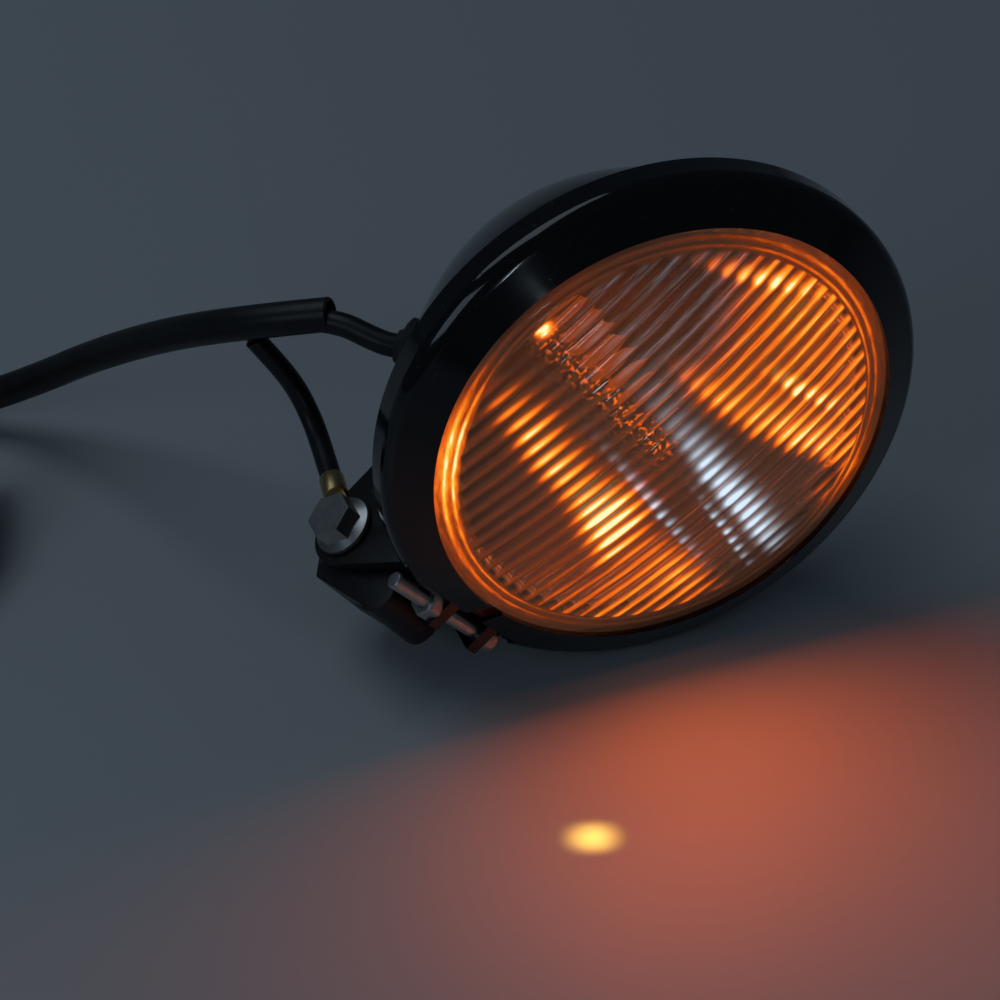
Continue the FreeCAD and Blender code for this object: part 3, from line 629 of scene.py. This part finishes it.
finishes = {
    "black_enamel": gloss("blackEnamel", (0.0045, 0.0045, 0.005), 0.10, 0.6, 0.35),
    "bracket_black": satin("bracketBlack", (0.008, 0.008, 0.0085), 0.42, 0.25),
    "zinc_steel": plated("zincSteel", (0.62, 0.61, 0.58), 0.28, 0.8, 0.45),
    "mirror_metal": mirrorFinish(),
    "amber_glass": amberFinish(),
    "bulb_metal": plated("bulbMetal", (0.66, 0.63, 0.58), 0.35, 0.5, 0.5),
    "contact_brass": plated("contactBrass", (0.72, 0.52, 0.24), 0.32, 0.6, 0.5),
    "black_rubber": moulded("blackRubber", (0.012, 0.012, 0.012), 0.62, 0.8, 0.1),
    "black_sheath": moulded("vinylSheath", (0.010, 0.010, 0.011), 0.42, 0.5),
    "nylon": moulded("nylon", (0.70, 0.68, 0.60), 0.42, 0.4),
    "lens_glass": lensFinish(glassSet),
}
floor.data.materials.append(floorFinish())
for entry in frame["record"]["subparts"]:
    piece = nodes[entry["node"]]
    piece.data.materials.clear()
    piece.data.materials.append(finishes[entry["material_slot"]])
print("finishes")


lensSet = {
    "field": 47.5, "pitch": 3.7, "perFlute": 12, "rows": 56, "deep": 0.55, "dome": 220.0, "front": -5.2,
    # radius and depth of the stepped border, round the outer edge to the inner face
    "border": [
        (47.9, 0.55), (48.6, 0.9), (49.6, 0.75), (50.2, 1.25), (51.4, 1.3), (53.0, 1.75),
        (57.0, 4.2), (57.0, 7.0), (49.0, 7.0), (46.6, 4.05),
    ],
    "inner": 216.0, "innerFront": -1.2, "innerRings": 14,
    "crowd": 0.35,   # how far the columns draw together towards the two sides
}


def makeLens(s):
    # The fluted field is y = front + r^2 / 2 dome, less a cylinder's bulge across each flute.
    columns = int(2 * s["field"] / s["pitch"] * s["perFlute"]) + 1
    even = np.linspace(-1, 1, columns)
    crowded = np.sin(even * np.pi / 2)
    x = crowded * s["crowd"] * s["field"] + even * (1 - s["crowd"]) * s["field"]
    x[0], x[-1] = -s["field"], s["field"]
    b = np.sin(np.linspace(-1, 1, s["rows"]) * np.pi / 2)
    z = b[None, :] * np.sqrt(np.maximum(s["field"]**2 - x[:, None]**2, 0))
    wide = x[:, None] + 0 * z
    phase = x / s["pitch"] - np.round(x / s["pitch"])
    bulge = s["deep"] * (1 - (2 * phase)**2)
    y = s["front"] + s["deep"] + (wide**2 + z**2) / (2 * s["dome"]) - bulge[:, None]
    fieldSheet = np.stack([wide, y, z], -1)
    # the border starts on the field's own edge, so that the two meet point to point
    edge = np.concatenate([fieldSheet[:, -1], fieldSheet[-2:0:-1, 0]])
    angles = np.arctan2(edge[:, 2], edge[:, 0])
    border = turnedSheet(s["border"], angles)
    rings = np.linspace(1, 0, s["innerRings"])[1:] * s["border"][-1][0]
    inner = turnedSheet(np.stack([rings, s["innerFront"] + rings**2 / (2 * s["inner"])], -1), angles)
    whole = np.concatenate([edge[None], border, inner])
    return addSurface("lens", [(fromLamp(fieldSheet), False), (fromLamp(whole), True)],
                      "optical_unit", "lens_glass", ["front_lens"])


makeLens(lensSet)
print("lens")

# Rounded copies of the hard-edged metal pieces.
softSet = {
    # node: bevel in mm, segments
    "mount_clevis": (0.7, 3), "mount_foot": (0.9, 3), "clevis_bolts": (0.3, 2), "pivot_nut": (0.25, 2),
    "rim_screw": (0.2, 2), "rim_nut": (0.2, 2), "earth_terminal": (0.12, 2),
    "friction_washers": (0.15, 2), "retaining_clips": (0.1, 2),
}


def soften(node, width, segments):
    # The node's own surface, merged, with its sharp edges rounded over.
    piece = bpy.data.objects.new(node + "Soft", nodes[node].data.copy())
    bpy.context.scene.collection.objects.link(piece)
    work = bmesh.new()
    work.from_mesh(piece.data)
    bmesh.ops.remove_doubles(work, verts=work.verts, dist=meshSet["merge"])
    bmesh.ops.dissolve_limit(work, angle_limit=radians(0.6), verts=work.verts, edges=work.edges)
    work.to_mesh(piece.data)
    work.free()
    bevel = piece.modifiers.new("bevel", "BEVEL")
    bevel.width = width / 1000
    bevel.segments = segments
    bevel.limit_method = "ANGLE"
    bevel.angle_limit = radians(32)
    bevel.harden_normals = True
    piece.data.polygons.foreach_set("use_smooth", np.full(len(piece.data.polygons), True))
    body = next(name for name, held in frame["record"]["behaviour"]["bodies"].items() if node in held)
    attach(piece, body)
    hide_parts(node)


for node, values in softSet.items():
    soften(node, *values)
print("softened pieces")

for piece, slotName in made:
    piece.data.materials.append(finishes[slotName])
